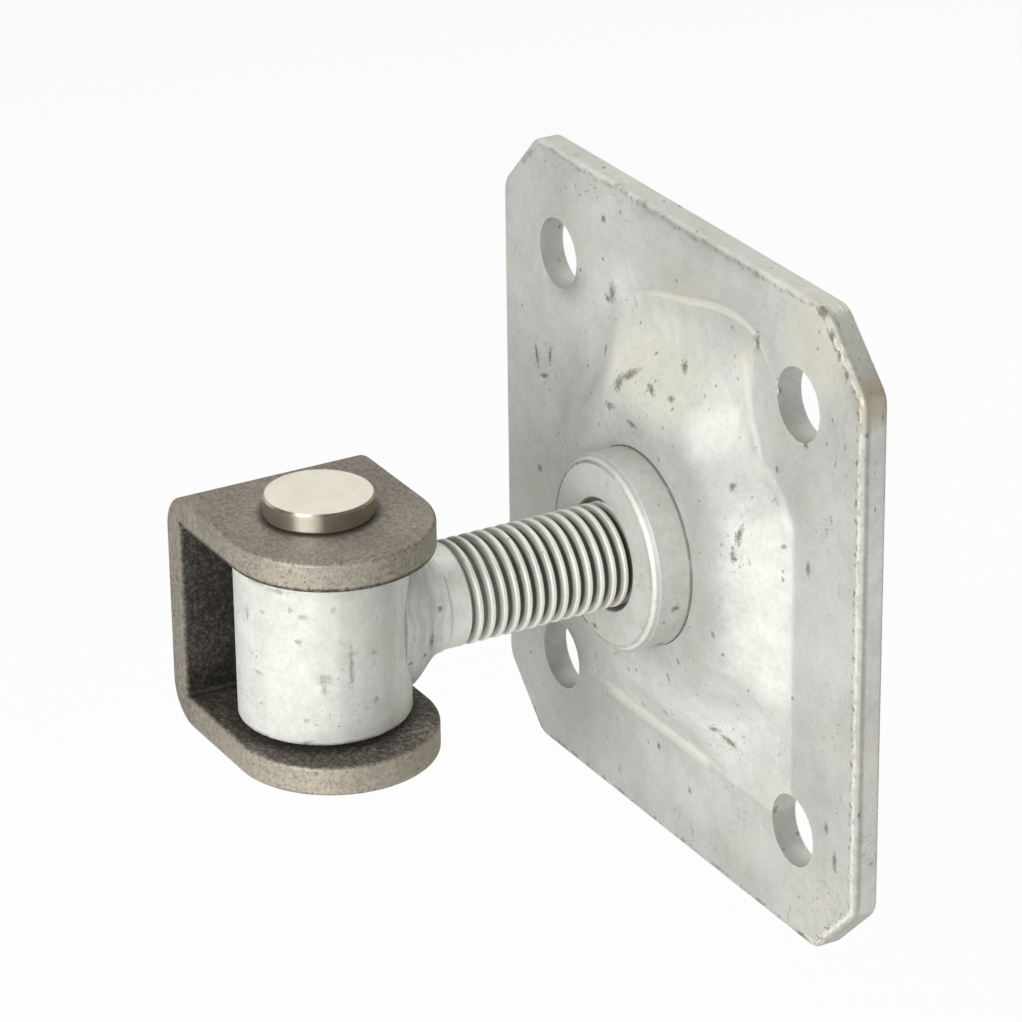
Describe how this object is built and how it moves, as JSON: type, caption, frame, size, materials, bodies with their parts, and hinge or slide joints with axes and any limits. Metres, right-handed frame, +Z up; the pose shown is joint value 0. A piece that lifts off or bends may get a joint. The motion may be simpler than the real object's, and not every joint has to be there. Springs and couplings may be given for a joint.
{
  "type": "adjustable gate hinge",
  "caption": "Adjustable gate hinge: a bolt-on plate with a raised middle and collar, an eye on a threaded rod, and a weld-on U bracket that swings on a pin through the eye.",
  "frame": {"origin": "middle of the plate's mounting face, at the centre of its four bolt holes", "axes": "+Y into the post, out of the mounting face; +Z up along the hinge pin; +X across the plate. The eye stands out along -Y. At rest the bracket's web is on the -X side of the eye."},
  "size_m": [0.1, 0.077, 0.1],
  "materials": {
    "zinc_plate": "hot-dip galvanised, dull and mottled",
    "zinc_fittings": "hot-dip galvanised, satin",
    "raw_steel": "bare rolled steel, dull grey-brown",
    "bright_steel": "bare turned steel, satin"
  },
  "bodies": {
    "plate": {"mounting_plate": "zinc_plate", "threaded_collar": "zinc_fittings", "collar_weld": "zinc_fittings"},
    "eye": {"threaded_rod": "zinc_fittings", "eye_barrel": "zinc_fittings", "rod_weld": "zinc_fittings"},
    "bracket": {"u_bracket": "raw_steel", "hinge_pin": "bright_steel", "retaining_ring": "bright_steel"}
  },
  "joints": [
    {"name": "thread_adjust", "type": "slide", "parent": "plate", "child": "eye", "axis": [0, 1, 0], "range_m": [-0.003, 0.02]},
    {"name": "bracket_swing", "type": "hinge", "parent": "eye", "child": "bracket", "pos_m": [0, -0.062, 0], "axis": [0, 0, 1], "range_deg": [-18, 198]}
  ]
}
